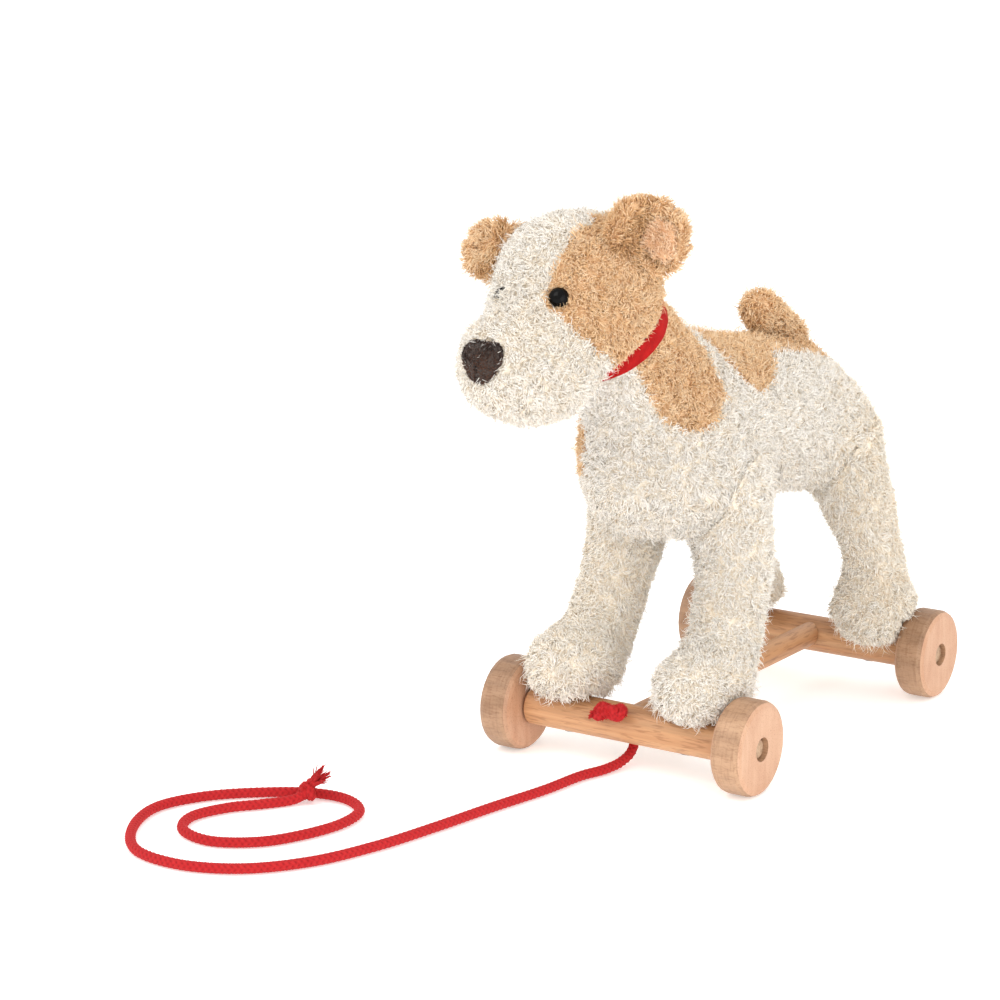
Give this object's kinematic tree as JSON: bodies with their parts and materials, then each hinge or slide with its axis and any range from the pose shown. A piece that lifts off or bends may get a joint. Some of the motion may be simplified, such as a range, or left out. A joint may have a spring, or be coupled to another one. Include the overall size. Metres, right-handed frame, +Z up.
{
  "type": "pull along toy dog",
  "caption": "Plush toy dog standing on a wooden chassis with freely turning wheels, pulled along by a knotted red cord.",
  "frame": {"origin": "on the floor under the wheels, at the middle of the toy's length and width without its pull cord", "axes": "+Z up, the dog faces -Y and its left side is +X; the wheels turn about X"},
  "size_m": [0.2187, 0.4349, 0.2806],
  "materials": {
    "beech": "oiled",
    "wheel_wood": "oiled",
    "steel": "satin",
    "cream_plush": "boucle pile",
    "tan_plush": "boucle pile",
    "ear_lining": "short velour",
    "nose_knit": "knitted",
    "eye_plastic": "gloss",
    "washer_plastic": "matte",
    "red_felt": "felt",
    "red_cord": "twisted cotton"
  },
  "bodies": {
    "chassis": {"front_beam": "beech", "rear_beam": "beech", "spine_dowel": "beech", "axle_peg_front_left": "beech", "axle_peg_front_right": "beech", "axle_peg_rear_left": "beech", "axle_peg_rear_right": "beech", "paw_block_front_left": "beech", "paw_block_front_right": "beech", "paw_block_rear_left": "beech", "paw_block_rear_right": "beech", "paw_screw_front_left": "steel", "paw_screw_front_right": "steel", "paw_screw_rear_left": "steel", "paw_screw_rear_right": "steel", "torso": "cream_plush", "head": "cream_plush", "leg_front_left": "cream_plush", "leg_front_right": "cream_plush", "leg_rear_left": "cream_plush", "leg_rear_right": "cream_plush", "eye_patch": "tan_plush", "neck_patch": "tan_plush", "rump_patch": "tan_plush", "chest_patch": "tan_plush", "ear_left": "tan_plush", "ear_right": "tan_plush", "tail": "tan_plush", "ear_lining_left": "ear_lining", "ear_lining_right": "ear_lining", "nose": "nose_knit", "eye_left": "eye_plastic", "eye_right": "eye_plastic", "eye_washer_left": "washer_plastic", "eye_washer_right": "washer_plastic", "collar": "red_felt", "pull_cord": "red_cord", "beam_knot": "red_cord", "end_knot": "red_cord", "end_tassel": "red_cord"},
    "wheel_front_left_body": {"wheel_front_left": "wheel_wood"},
    "wheel_front_right_body": {"wheel_front_right": "wheel_wood"},
    "wheel_rear_left_body": {"wheel_rear_left": "wheel_wood"},
    "wheel_rear_right_body": {"wheel_rear_right": "wheel_wood"}
  },
  "joints": [
    {"name": "spin_front_left", "type": "hinge", "parent": "chassis", "child": "wheel_front_left_body", "pos_m": [0.0633, -0.0393, 0.0225], "axis": [1, 0, 0], "continuous": true},
    {"name": "spin_front_right", "type": "hinge", "parent": "chassis", "child": "wheel_front_right_body", "pos_m": [-0.0633, -0.0393, 0.0225], "axis": [1, 0, 0], "continuous": true},
    {"name": "spin_rear_left", "type": "hinge", "parent": "chassis", "child": "wheel_rear_left_body", "pos_m": [0.0633, 0.1467, 0.0225], "axis": [1, 0, 0], "continuous": true},
    {"name": "spin_rear_right", "type": "hinge", "parent": "chassis", "child": "wheel_rear_right_body", "pos_m": [-0.0633, 0.1467, 0.0225], "axis": [1, 0, 0], "continuous": true}
  ]
}
